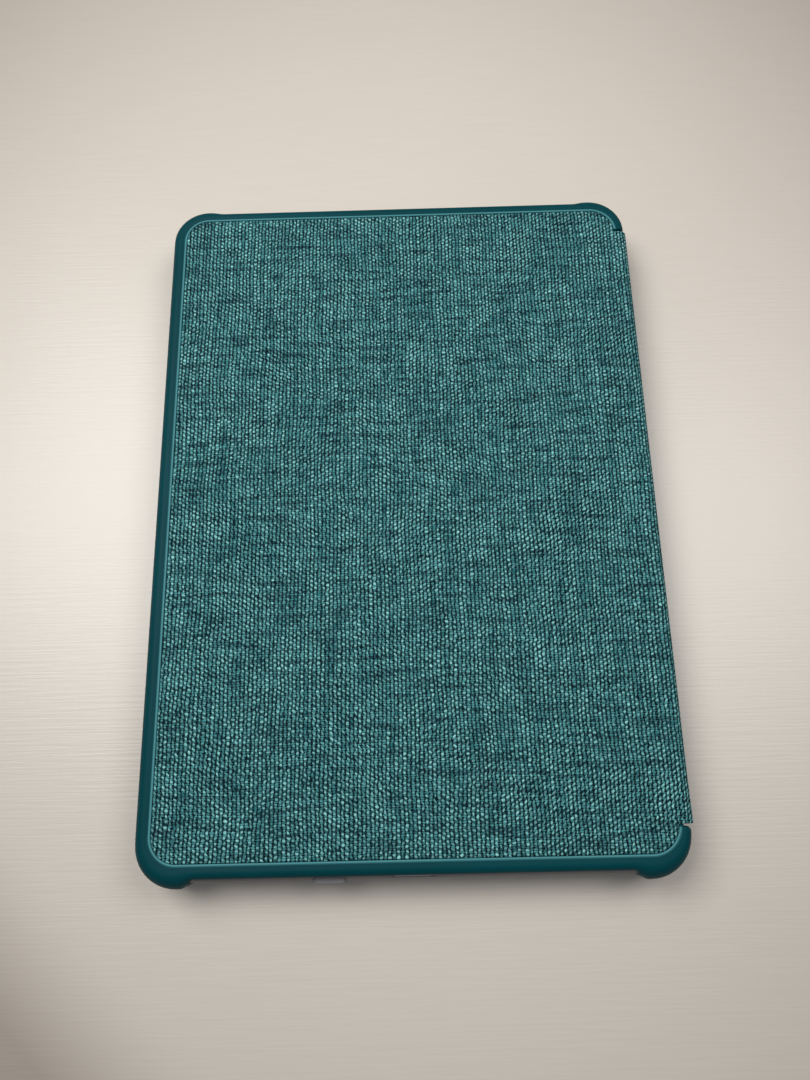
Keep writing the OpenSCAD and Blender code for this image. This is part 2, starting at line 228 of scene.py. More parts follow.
class Finish:
    """One procedural material and the nodes in it."""

    def __init__(self, name):
        self.material = bpy.data.materials.new(name)
        self.material.use_nodes = True
        self.tree = self.material.node_tree
        self.tree.nodes.clear()

    def add(self, kind, settings=None, inputs=None, output=None):
        """New node with its settings, and values or wires for its inputs.

        output names the wire wanted back; without it the node comes back.
        """
        node = self.tree.nodes.new(kind)
        for key, value in (settings or {}).items():
            setattr(node, key, value)
        for key, value in (inputs or {}).items():
            socket = self.find(node.inputs, key)
            if isinstance(value, Wire):
                self.tree.links.new(value.socket, socket)
            else:
                socket.default_value = value
        return node if output is None else Wire(self, self.find(node.outputs, output))

    @staticmethod
    def find(sockets, key):
        if isinstance(key, int):
            return sockets[key]
        return next(s for s in sockets if s.identifier == key or (s.name == key and s.enabled))

    def place(self):
        """The piece's own Object coordinates, in metres."""
        return self.add("ShaderNodeTexCoord", output="Object")

    def cloth_place(self):
        """Distances over the cloth, in metres."""
        return self.add("ShaderNodeUVMap", {"uv_map": "weave"}, output="UV")

    def split(self, vector):
        node = self.add("ShaderNodeSeparateXYZ", inputs={"Vector": vector})
        return [Wire(self, node.outputs[k]) for k in range(3)]

    def join(self, x, y, z=0.0):
        return self.add("ShaderNodeCombineXYZ", inputs={"X": x, "Y": y, "Z": z}, output="Vector")

    def stretch(self, vector, scale):
        return self.add(
            "ShaderNodeVectorMath", {"operation": "MULTIPLY"}, {0: vector, 1: scale}, "Vector")

    def noise(self, vector, scale, detail=2.0, roughness=0.5, output="Fac"):
        inputs = {"Vector": vector, "Scale": scale, "Detail": detail, "Roughness": roughness}
        return self.add("ShaderNodeTexNoise", inputs=inputs, output=output)

    def cell_value(self, vector):
        """A random value for each place in the plane."""
        settings = {"noise_dimensions": "2D"}
        return self.add("ShaderNodeTexWhiteNoise", settings, {"Vector": vector}, "Value")

    def mix(self, share, a, b):
        settings = {"data_type": "RGBA"}
        inputs = {"Factor_Float": share, "A_Color": a, "B_Color": b}
        return self.add("ShaderNodeMix", settings, inputs, "Result_Color")

    def bump(self, height, distance, strength):
        inputs = {"Height": height, "Distance": distance, "Strength": strength}
        return self.add("ShaderNodeBump", inputs=inputs, output="Normal")

    def surface(self, **inputs):
        """Ends the finish with one Principled shader; keyword names have _ for a blank."""
        named = {k.replace("_", " "): v for k, v in inputs.items()}
        shader = self.add("ShaderNodeBsdfPrincipled", inputs=named, output="BSDF")
        self.add("ShaderNodeOutputMaterial", inputs={"Surface": shader})
        return self.material


def linear(red, green, blue):
    """Colour for a shader from the three display values, 0 to 255."""
    values = np.array([red, green, blue]) / 255
    low, high = values / 12.92, ((values + 0.055) / 1.055) ** 2.4
    return (*np.where(values <= 0.04045, low, high).tolist(), 1.0)


WARP_PITCH = 0.853 * MM
WEFT_PITCH = 0.506 * MM


def woven_melange(name):
    """Plain weave of slubby two-tone yarn.

    Each warp thread rises and falls as the cosine of the distance along it, a half wave
    to each weft thread, and the weft threads the other way; a thread's own roundness is
    a half ellipse across it. The higher of the two shows. The gaps carry painted
    shade, darker with depth.
    """
    f = Finish(name)
    cloth = f.cloth_place()
    bend_u, bend_v, _ = f.split(f.noise(cloth, 55.0, 1.0, output="Color"))
    jog_u, jog_v, _ = f.split(f.noise(cloth, 900.0, 1.0, output="Color"))
    u, v, _ = f.split(cloth)
    u = u + (bend_u - 0.5) * (1.6 * WARP_PITCH) + (jog_u - 0.5) * (0.95 * WARP_PITCH)
    v = v + (bend_v - 0.5) * (3.0 * WEFT_PITCH) + (jog_v - 0.5) * (1.3 * WEFT_PITCH)
    across, along = u / WARP_PITCH, v / WEFT_PITCH
    column, row = across.math("FLOOR"), along.math("FLOOR")
    du, dv = across.math("FRACT") - 0.5, along.math("FRACT") - 0.5
    over = 1 - (column + row).math("FLOORED_MODULO", 2.0) * 2.0
    lean = (f.noise(cloth, 40.0, 1.0) - 0.5) * 4.0 + u * 9.0
    warp_wave = ((dv - du * lean) * math.pi).math("COSINE") * over
    weft_wave = (du * math.pi).math("COSINE") * over * -1.0
    warp_slub = f.noise(f.join(column * 1.37, v * 260.0), 1.0, 1.0)
    weft_slub = f.noise(f.join(u * 260.0, row * 1.37, 7.0), 1.0, 1.0)
    warp_round = (1 - (du * du) * (11.5 - warp_slub * 9.0)).clip().math("SQRT")
    weft_round = (1 - (dv * dv) * (10.5 - weft_slub * 8.0)).clip().math("SQRT")
    warp_height = warp_round * (warp_wave * 0.36 + 0.64)
    weft_height = weft_round * (weft_wave * 0.4 + 0.48)
    height = warp_height.math("MAXIMUM", weft_height)
    warp_on_top = (warp_height - weft_height).step(-0.08, 0.08)

    thread = f.cell_value(f.join(column, row * 0.5))
    weft_run = f.noise(f.join(u * 110.0, row * 0.63), 1.0, 2.0, 0.6)
    warp_run = f.noise(f.join(column * 0.71, v * 70.0, 3.0), 1.0, 1.0)
    cloud = f.noise(f.stretch(cloth, (1.0, 9.0, 1.0)), 90.0, 3.0, 0.62)
    fibre = f.noise(f.join(u * 5200.0, v * 2600.0), 1.0, 1.0)

    spot = f.cell_value(f.join(column, row))
    warp_tone = warp_run.step(0.36, 0.66) * 0.4 + thread * 0.25 + spot * 0.35
    warp_tone = (warp_tone + (fibre - 0.5) * 0.5).clip()
    weft_tone = (weft_run.step(0.36, 0.64) * 0.55 + spot * 0.45 + (fibre - 0.5) * 0.4).clip()
    warp_colour = f.mix(warp_tone, linear(30, 106, 112), linear(150, 218, 216))
    weft_colour = f.mix(weft_tone, linear(0, 56, 64), linear(80, 160, 164))
    yarn = f.mix(warp_on_top, weft_colour, warp_colour)
    streak = (cloud.step(0.48, 0.64) * 0.6 + (1 - weft_run.step(0.3, 0.46)) * 0.35).clip()
    yarn = f.mix(streak * 0.85, yarn, linear(10, 50, 64))
    # Painted shade: the gaps between threads go to a deep teal with depth.
    deep = height.step(0.3, 0.86)
    colour = f.mix(deep, linear(0, 20, 26), yarn)
    return f.surface(
        Base_Color=colour,
        Roughness=0.95 - height * 0.2,
        Specular_IOR_Level=0.12,
        Normal=f.bump(height + (fibre - 0.5) * 0.25, 0.16 * MM, 0.8),
    )


def soft_nap(name, light, dark):
    """Brushed microfibre: short fibres that lie in slightly different directions."""
    f = Finish(name)
    spot = f.place()
    cloud = f.noise(spot, 60.0, 3.0, 0.6)
    nap = f.noise(spot, 2600.0, 3.0, 0.7)
    tone = (cloud.step(0.3, 0.7) * 0.14 + nap * 0.86).clip()
    return f.surface(
        Base_Color=f.mix(tone, dark, light),
        Roughness=0.86 + nap * 0.12,
        Sheen_Weight=0.3,
        Sheen_Roughness=0.4,
        Normal=f.bump(nap, 0.08 * MM, 0.6),
    )


def moulded(name, light, dark, rough, grain, depth, level=0.5, polish_and_painted_highlight=None):
    """Moulded plastic, rubber or board with a fine texture and faint tone changes.

    grain is the texture's frequency per metre and depth its depth in millimetres. The last
    argument is (attribute, colour): where the attribute is 1 the surface is smoother and takes
    that colour, a painted highlight.
    """
    f = Finish(name)
    spot = f.place()
    cloud = f.noise(spot, 35.0, 3.0, 0.5)
    pits = f.noise(spot, grain, 3.0, 0.6)
    tone = (cloud.step(0.3, 0.7) * 0.6 + pits * 0.4).clip()
    colour = f.mix(tone, dark, light)
    roughness = rough + (pits - 0.5) * 0.1 + (cloud - 0.5) * 0.1
    if polish_and_painted_highlight is not None:
        # Painted highlight: where the attribute is 1 the colour goes to the given pale colour.
        share = f.add("ShaderNodeAttribute", {"attribute_name": polish_and_painted_highlight[0]}, output="Fac")
        colour = f.mix(share, colour, polish_and_painted_highlight[1])
        roughness = roughness - share * 0.15
    return f.surface(
        Base_Color=colour,
        Roughness=roughness,
        Specular_IOR_Level=level,
        Normal=f.bump(pits, depth * MM, 0.5),
    )


def metal(name, light, dark, rough, stretch=(1.0, 30.0, 1.0), grain=300.0):
    """Sheet or turned metal with fine lines along one direction."""
    f = Finish(name)
    lines = f.noise(f.stretch(f.place(), stretch), grain, 3.0, 0.6)
    cloud = f.noise(f.place(), 90.0, 2.0)
    return f.surface(
        Base_Color=f.mix((lines * 0.6 + cloud * 0.4).clip(), dark, light),
        Metallic=1.0,
        Roughness=rough + (lines - 0.5) * 0.2,
        Normal=f.bump(lines, 0.01 * MM, 0.4),
    )


def see_through(name, tint, alpha, rough):
    """Clear or milky film whose faint haze varies over it."""
    f = Finish(name)
    haze = f.noise(f.place(), 900.0, 2.0)
    return f.surface(
        Base_Color=f.mix(haze, tint, (1.0, 1.0, 1.0, 1.0)),
        Roughness=rough + (haze - 0.5) * 0.08,
        Alpha=alpha + (haze - 0.5) * 0.04,
        Normal=f.bump(haze, 0.003 * MM, 0.3),
    )


def electronic_paper(name):
    """Matt paper-like panel: tiny capsules give a fine even speckle."""
    f = Finish(name)
    spot = f.place()
    pattern = {"Vector": spot, "Scale": 9000.0}
    capsules = f.add("ShaderNodeTexVoronoi", inputs=pattern, output="Distance")
    cloud = f.noise(spot, 25.0, 2.0)
    tone = (capsules * 0.5 + cloud * 0.5).clip()
    return f.surface(
        Base_Color=f.mix(tone, linear(190, 190, 184), linear(212, 212, 206)),
        Roughness=0.7 + (cloud - 0.5) * 0.1,
    )


def circuit_board(name):
    """Green solder mask over fine straight tracks."""
    f = Finish(name)
    x, y, _ = f.split(f.place())
    lane = f.noise(f.join((x * 2600.0).math("FLOOR"), y * 130.0), 1.0, 1.0)
    cross = f.noise(f.join(x * 130.0, (y * 2600.0).math("FLOOR")), 1.0, 1.0)
    track = lane.math("MAXIMUM", cross).step(0.6, 0.64)
    return f.surface(
        Base_Color=f.mix(track, linear(12, 70, 38), linear(34, 110, 62)),
        Roughness=0.4 - track * 0.1,
        Normal=f.bump(track, 0.03 * MM, 0.5),
    )


def painted_table(name):
    """Pale satin paint over a fine straight grain along X, with painted shade: darker away from the
    middle and in the near left corner.
    """
    f = Finish(name)
    spot = f.place()
    grain = f.noise(f.stretch(spot, (1.0, 26.0, 1.0)), 60.0, 4.0, 0.6)
    cloud = f.noise(spot, 5.0, 2.0)
    x, y, _ = f.split(spot)
    tone = (grain * 0.5 + cloud * 0.5).clip()
    paint = f.mix(tone, linear(212, 204, 192), linear(228, 221, 211))
    # Painted shade: the paint goes darker and browner away from the middle and in the near left
    # corner.
    off = y - 0.02
    corner = (-0.155 - x - y).step(0.0, 0.06)
    painted_shade = x * x * 20.0 + off * off * 13.0 + corner * 0.6
    return f.surface(
        Base_Color=f.mix(painted_shade.clip(0.0, 0.75), paint, linear(128, 118, 106)),
        Roughness=0.33 + (grain - 0.5) * 0.12,
        Normal=f.bump(grain, 0.1 * MM, 0.5),
    )


WEAVE = woven_melange("woven_teal_melange")
# The pale teal line on the bead's crest is a painted highlight.
TRAY_PLASTIC = moulded(
    "tray_teal_plastic", linear(0, 66, 73), linear(0, 57, 63), 0.5, 1500.0, 0.02,
    level=0.08, polish_and_painted_highlight=("bead_polish_and_painted_highlight", linear(76, 140, 146)))
LINING = soft_nap("grey_microfibre", linear(118, 122, 124), linear(78, 82, 85))

NODE_FINISHES = {
    ("flap_board", "spine_stiffener"): moulded(
        "pressed_board", linear(96, 92, 86), linear(72, 69, 64), 0.85, 700.0, 0.05),
    ("flap_magnets", "wake_magnet", "catch_magnets"): metal(
        "nickel_plate", (0.62, 0.6, 0.56, 1), (0.48, 0.46, 0.43, 1), 0.25),
    ("screen_gasket",): moulded(
        "black_foam", linear(30, 30, 31), linear(18, 18, 19), 0.92, 1200.0, 0.08),
    ("touch_flex", "display_flex"): moulded(
        "copper_ribbon", linear(176, 108, 44), linear(140, 82, 30), 0.4, 500.0, 0.01),
    ("radio_antenna",): metal("copper_foil", (0.72, 0.4, 0.2, 1), (0.55, 0.3, 0.14, 1), 0.35),
    ("led_strip",): moulded(
        "light_strip_resin", linear(226, 214, 160), linear(205, 192, 140), 0.45, 900.0, 0.01),
    ("display_panel",): electronic_paper("electronic_paper"),
    ("mid_frame",): metal(
        "cast_magnesium", (0.32, 0.33, 0.34, 1), (0.24, 0.25, 0.26, 1), 0.5, (1.0, 1.0, 1.0), 700.0),
    ("battery",): metal(
        "pouch_foil", (0.66, 0.67, 0.68, 1), (0.55, 0.56, 0.57, 1), 0.42, (1.0, 6.0, 1.0), 260.0),
    ("battery_tape",): moulded(
        "white_tape", linear(228, 226, 220), linear(208, 205, 198), 0.7, 900.0, 0.01),
    ("battery_lead",): moulded(
        "red_wire_cover", linear(168, 26, 24), linear(130, 16, 16), 0.45, 900.0, 0.01),
    ("main_board",): circuit_board("solder_mask"),
    ("processor", "memory_chip", "power_chip", "hall_sensor"): moulded(
        "chip_resin", linear(34, 34, 36), linear(22, 22, 24), 0.6, 2200.0, 0.02),
    ("radio_shield",): metal("tinned_sheet", (0.7, 0.7, 0.69, 1), (0.58, 0.58, 0.57, 1), 0.3),
    ("usb_port",): metal("port_steel", (0.5, 0.5, 0.51, 1), (0.36, 0.36, 0.37, 1), 0.32),
    ("power_switch",): moulded(
        "switch_body", linear(190, 190, 188), linear(160, 160, 158), 0.5, 900.0, 0.01),
    ("status_light_pipe",): moulded(
        "light_pipe_resin", linear(214, 216, 214), linear(196, 198, 197), 0.25, 900.0, 0.004),
    ("board_screws", "frame_screws"): metal(
        "screw_steel", (0.42, 0.42, 0.43, 1), (0.3, 0.3, 0.31, 1), 0.28),
}
for names, finish in NODE_FINISHES.items():
    for node_name in names:
        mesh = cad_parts[node_name].data
        mesh.materials.clear()
        mesh.materials.append(finish)

# The reader's plastic is charcoal; these greys are a painted highlight, lighter to show the light its
# edge catches.
HOUSING_PLASTIC = moulded(
    "housing_plastic_painted_highlight", linear(104, 103, 106), linear(90, 89, 92), 0.5, 1700.0, 0.03)
# The button, of the same plastic, is painted lighter still: a painted highlight on its lit front.
BUTTON_PLASTIC = moulded(
    "button_plastic_painted_highlight", linear(126, 125, 128), linear(112, 111, 114), 0.42, 1700.0, 0.02)
BEZEL_PLASTIC = moulded(
    "bezel_black_plastic", linear(48, 48, 50), linear(38, 38, 40), 0.5, 1700.0, 0.03)


def dress(piece, material, body, nodes, lining=None):
    """Gives a piece its finish and its body, and hides the CAD nodes it stands for.

    body is None for a cloth that spans two bodies; such a piece is attached to no body.
    """
    piece.data.materials.append(material)
    if lining is not None:
        piece.data.materials.append(lining)
    if body is not None:
        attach(piece, body)
    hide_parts(*nodes)


# ---- Tray ----

def edge_depth(x, y, box, radius):
    """Distance inwards from the edge of a rounded rectangle; outside it is negative."""
    cx, cy = (box[0] + box[1]) / 2, (box[2] + box[3]) / 2
    radius = np.where(x < cx, radius[0], radius[1])
    qx = np.abs(x - cx) - (box[1] - box[0]) / 2 + radius
    qy = np.abs(y - cy) - (box[3] - box[2]) / 2 + radius
    outside = np.hypot(np.maximum(qx, 0), np.maximum(qy, 0))
    return radius - outside - np.minimum(np.maximum(qx, qy), 0)


def tray():
    """Back tray: one section carried round its outline.

    The section runs from the foot of the bead at the fabric's recess, over the bead and
    the rim, down the outer wall, round the lip and up the inner wall to the plate's
    under face. Beside the spine the rim, wall and lip shrink to the plate's edge, and
    between the grips the wall and lip do.
    """
    slope_from, slope_to = 47.3, 43.9                  # a grip's end face slopes between these
    gone = 0.5715                                      # share of it where no wall is left
    slope = np.array([0, 0.12, 0.25, 0.38, 0.5, gone, gone, 0.68, 0.8, 0.9, 1.0])
    edge_x = -slope_from + (slope_from - slope_to) * slope
    left_wall = np.array([1, 1, 1, 1, 1, 1, 0, 0, 0, 0, 0])
    left_lip = np.array([1, 1, 0, 0, 0, 0, 0, 0, 0, 0, 0])
    middle = np.linspace(-42.5, 42.1, 59)
    none = np.zeros_like(middle)
    mirrored_x = TRAY_X[0] + TRAY_X[1] - edge_x
    along_x = np.concatenate([edge_x, middle, mirrored_x[::-1]])
    wall_x = np.concatenate([left_wall, none, left_wall[::-1]])
    lip_x = np.concatenate([left_lip, none, left_lip[::-1]])
    drop = np.concatenate([ease(slope), none + 1, ease(slope)[::-1]])

    turn = np.radians([0, 22, 45, 68, 90])             # the grips' ends beside the spine
    corner_y = -70.95 + np.sin(turn)
    corner_x = TRAY_X[1] - 1 + np.cos(turn)
    low = np.concatenate([[-71.2, -71.1], corner_y, [-69.95]])
    low_x = np.concatenate([[TRAY_X[1]] * 2, corner_x, [HINGE_X]])
    side = np.linspace(-68, 68, 47)
    along_y = np.concatenate([low, side, -low[::-1]])
    outer_x = np.concatenate([low_x, np.full_like(side, HINGE_X), low_x[::-1]])
    open_side = np.concatenate([[0] * 7, [1], np.ones_like(side), [1], [0] * 7])
    lip_y = np.concatenate([[1], [0] * 7, np.zeros_like(side), [0] * 7, [1]])

    outer = ring((*TRAY_X, *TRAY_Y), TRAY_R, along_x, along_y)
    bead = ring(PANEL, PANEL_R, along_x, along_y)
    inner = ring((READER_X - 54.4, HINGE_X, -79.0, 79.0), 7.6, along_x, along_y)
    tip = ring((READER_X - 53.3, READER_X + 53.3, -77.9, 77.9), 6.5, along_x, along_y)
    count, n_x, n_y, arc = len(outer), len(along_x), len(along_y), CORNER_POINTS
    wall, lip, rim = np.ones(count), np.ones(count), np.ones(count)
    bottom = slice(0, n_x)
    right = slice(n_x + arc, n_x + arc + n_y)
    top = slice(n_x + 2 * arc + n_y, 2 * n_x + 2 * arc + n_y)
    outer[bottom, 1] += drop * (PLATE_Y[0] - TRAY_Y[0])
    outer[top, 1] -= drop[::-1] * (TRAY_Y[1] - PLATE_Y[1])
    wall[bottom], wall[top] = wall_x, wall_x[::-1]
    lip[bottom], lip[top] = lip_x, lip_x[::-1]
    outer[right, 0] = outer_x
    outer[right, 1] = along_y
    lip[right] = lip_y
    wall[right] = 1 - open_side
    rim[right] = 1 - open_side
    low_end = np.zeros(count)
    low_end[bottom], low_end[top] = drop, drop[::-1]

    # Beside the spine the bead follows its corner as far as the rim's end and stops there.
    flat = rim[:, None] < 0.5
    bead_y, corner_r = bead[:, 1], PANEL_R[1]
    spine_side = bead[:, 0] > HINGE_X - 8
    held_y = np.where(spine_side, np.sign(bead_y) * np.maximum(np.abs(bead_y), RIM_END_Y), bead_y)
    arc_y = np.where(held_y < 0, PANEL[2] + corner_r - held_y, held_y - PANEL[3] + corner_r)
    arc_x = PANEL[1] - corner_r + np.sqrt(np.maximum(corner_r ** 2 - arc_y ** 2, 0))
    held = spine_side & (np.abs(bead_y) < RIM_END_Y)
    bead = np.where(held[:, None], np.stack([arc_x, held_y], -1), bead)
    bead = np.where(flat, outer, bead)
    no_wall = wall[:, None] < 0.5
    inner = np.where(no_wall, outer, inner)
    outer_y, inner_y = np.abs(outer[:, 1:]), np.abs(inner[:, 1:])
    thin = (outer_y < inner_y + 0.001) & (outer_y > 78)
    inner = np.where(thin & ~no_wall, outer, inner)
    tip = np.where(lip[:, None] < 0.5, inner, tip)

    span = outer - bead
    width = np.maximum(np.linalg.norm(span, axis=1, keepdims=True), 1e-6)
    toward = span / width
    ends = np.abs(toward[:, 1:]) ** 2
    fall = 2.5 + (1.3 - 2.4 * low_end[:, None]) * ends  # height of the rim's outer rounding
    reach = np.minimum(0.62 * width, 2.5 + 0.5 * ends) - 0.35 * low_end[:, None]
    columns = []

    def column(plan, z):
        columns.append(np.column_stack([plan, np.broadcast_to(z, (count, 1))]))

    def rim_column(distance, z):
        column(bead + toward * np.minimum(distance, width), np.where(flat, RECESS_Z, z))

    bead_across = [0.0, 0.0, 0.03, 0.1, 0.2, 0.3, 0.37, 0.41, 0.47, 0.58]
    bead_height = [-0.6, -0.2, -0.08, -0.02, 0.0, -0.02, -0.08, -0.15, -0.19, -0.18]
    for across, height in zip(bead_across, bead_height):
        rim_column(np.full((count, 1), across), TRAY_TOP + height)
    foot, foot_drop, shoulder = bead_across[-1], 0.18, TRAY_TOP - 0.08
    for t in (0.3, 0.7):
        rim_column(foot + (width - reach - foot) * t, TRAY_TOP - foot_drop + 0.1 * t)
    for angle in np.radians(np.linspace(90, 0, 13)):
        round_z = shoulder - fall + fall * math.sin(angle)
        rim_column(width - reach + reach * math.cos(angle), round_z)
    lower = np.where(no_wall, PLATE_UNDER, TRAY_BOTTOM)
    thickness = np.linalg.norm(inner - outer, axis=1, keepdims=True)
    into = (inner - outer) / np.maximum(thickness, 1e-6)
    has = np.where(no_wall, 0.0, 1.0)
    column(outer, np.where(no_wall, PLATE_UNDER + 0.1, TRAY_BOTTOM + 4.0))
    column(outer, lower + 0.4 * has)
    room = np.minimum(thickness * 0.4, 0.4)
    column(outer + into * room * 0.3, lower + 0.12 * has)
    column(outer + into * room, lower)
    column(tip, lower)
    column(tip, np.where(no_wall, PLATE_UNDER, FACE_Z - 0.05))
    column(inner, np.where(no_wall, PLATE_UNDER, FACE_Z - 0.05))
    column(inner, np.full((count, 1), PLATE_UNDER))
    body = make_piece("tray_body", np.stack(columns, 1), closed=True, caps=True, sharp=42)
    # The bead's crest is smoother and carries a painted highlight, a pale teal line; this attribute
    # tells the finish where.
    spots = np.array([v.co for v in body.data.vertices]) / MM
    off_edge = np.abs(edge_depth(spots[:, 0], spots[:, 1], PANEL, PANEL_R) + 0.16)
    polish_and_painted_highlight = ease((0.42 - off_edge) / 0.24) * (spots[:, 2] > TRAY_TOP - 0.3)
    attribute = body.data.attributes.new("bead_polish_and_painted_highlight", "FLOAT", "POINT")
    attribute.data.foreach_set("value", polish_and_painted_highlight.astype(np.float32))
    return body


dress(tray(), TRAY_PLASTIC, "tray", ["tray_shell"])


# ---- Cloth ----

def spine_flare(y, z):
    """How far the cloth's cut ends stand out from the spine, most at half height."""
    lower_end, upper_end = ease((-y - 56.5) / 13.0), ease((y - 62.0) / 7.5)
    swell = np.sin(math.pi * np.clip((12.2 - z) / 11.2, 0, 1))
    return (0.5 * lower_end ** 1.5 + 0.1 * upper_end) * swell


def border_rows(count, border):
    """Shares from 0 to 1 and added distances that crowd the samples at both ends."""
    edge = np.zeros(len(border))
    near = np.append(border, border[-1] * 1.6)
    share = np.concatenate([edge, np.linspace(0, 1, count), edge + 1])
    added = np.concatenate([near, np.zeros(count - 2), -near[::-1]])
    return share, added


def cloth_cut(box, radii, strip, hem=0.0):
    """Flat size in metres and flat area in square metres of a cloth's cut.

    Both come from the cover's sizes alone, so they can be held against the finished
    cloth. The cut is a rounded rectangle, with a hem on all its sides but the spine's
    and a strip beside it that is as long as the spine; radii are those of the left and
    the right corners.
    """
    width, length = box[1] - box[0], box[3] - box[2]
    corners = radii[0] + radii[1]
    face = width * length - (2 - math.pi / 2) * (radii[0] ** 2 + radii[1] ** 2)
    turned = hem * (2 * width + length - 3 * corners) + math.pi * hem * (corners + hem)
    area = (face + turned + strip * 2 * SPINE_Y) * MM * MM
    return ((width + strip + hem) * MM, (length + 2 * hem) * MM), area


def thicken(piece, thickness):
    """Wall of the cloth inwards from its outer face."""
    wall = piece.modifiers.new("cloth_thickness", "SOLIDIFY")
    wall.thickness = thickness * MM
    wall.offset = -1.0
    wall.material_offset = 1
    return piece


def back_cloth():
    """Fabric on the back, over the upper fold and down the spine to half its height.

    A row is at one distance round the cloth; each point's y is a share of the row's
    length between the two edges. The edge sinks in a quarter round beside the bead.
    """
    x0, x1, y0, y1 = inset(PANEL, BACK_GAP)
    r_left, r = (radius - BACK_GAP for radius in PANEL_R)
    quarter = np.radians(np.linspace(0, 90, 15))
    left = x0 + r_left * (1 - np.cos(quarter))
    left = np.unique(np.concatenate([left, x0 + np.array([0.06, 0.15, 0.3, 0.5])]))
    right = x1 - r + r * np.sin(quarter)
    middle = np.linspace(left[-1], right[0], 60)[1:-1]
    xs = np.concatenate([left, middle, right, [x1 + 0.02, 53.75, FOLD_X]])
    turn = np.radians(np.linspace(0, 90, 13))[1:]
    arc_x = FOLD_X + FOLD_R * np.sin(turn)
    arc_z = BACK_Z - FOLD_R + FOLD_R * np.cos(turn)
    down = np.linspace(BACK_Z - FOLD_R, SPINE_MID, 7)[1:]
    row_x = np.concatenate([xs, arc_x, np.full(len(down), SPINE_X)])
    row_z = np.concatenate([np.full(len(xs), BACK_Z), arc_z, down])
    run = np.concatenate([[0], np.cumsum(np.hypot(np.diff(row_x), np.diff(row_z)))]) + x0

    into_corner = np.maximum(np.maximum(x0 + r_left - row_x, row_x - (x1 - r)), 0)
    radius = np.where(row_x < 0, r_left, r)
    cut = radius - np.sqrt(np.maximum(radius ** 2 - into_corner ** 2, 0))
    strip = row_x > x1 + 0.01
    high = np.where(strip, SPINE_Y, np.maximum(y1 - cut, SPINE_Y))
    low = np.where(strip, -SPINE_Y, np.minimum(y0 + cut, -SPINE_Y))
    share, added = border_rows(87, [0.0, 0.05, 0.12, 0.22, 0.36])
    y = low[:, None] + (high - low)[:, None] * share + added
    x = np.broadcast_to(row_x[:, None], y.shape)
    z = np.broadcast_to(row_z[:, None], y.shape)
    beside_spine = np.minimum(x - 20, SPINE_Y - np.abs(y))
    depth = np.maximum(edge_depth(x, y, (x0, x1, y0, y1), (r_left, r)), beside_spine)
    sink = 0.2 * (1 - np.sqrt(1 - (1 - np.clip(depth / 0.42, 0, 1)) ** 2))
    lift = 0.035 * np.sin(x * 0.21 + 0.8 * np.sin(y * 0.07)) * np.sin(y * 0.17 + x * 0.05)
    z = z - sink * (x < SPINE_X - 1.2) + np.where(x < 50, lift * np.clip(depth / 6, 0, 1), 0)
    x = x + spine_flare(y, z) * (row_z < BACK_Z - 0.01)[:, None]
    points = np.stack([x, y, z], -1)
    weave = np.stack([np.broadcast_to(run[:, None], y.shape), y], -1)
    piece = make_piece("back_cloth", points, weave=weave, outward=False, sharp=60)
    return thicken(piece, CLOTH_T), run[-1]


def hem_profile():
    """The turned edge: distance along the cloth, distance outwards, height."""
    quarter = np.radians(np.array([18, 36, 54, 72, 90]))
    out = np.concatenate([HEM_R * np.sin(quarter), [HEM_R], 0.4 + 0.6 * np.cos(quarter), [0.15]])
    up = np.concatenate(
        [HEM_R * (1 - np.cos(quarter)), [1.55], 1.55 + 0.6 * np.sin(quarter), [2.16]])
    steps = np.hypot(np.diff(out, prepend=0), np.diff(up, prepend=0))
    return np.cumsum(steps), out, up


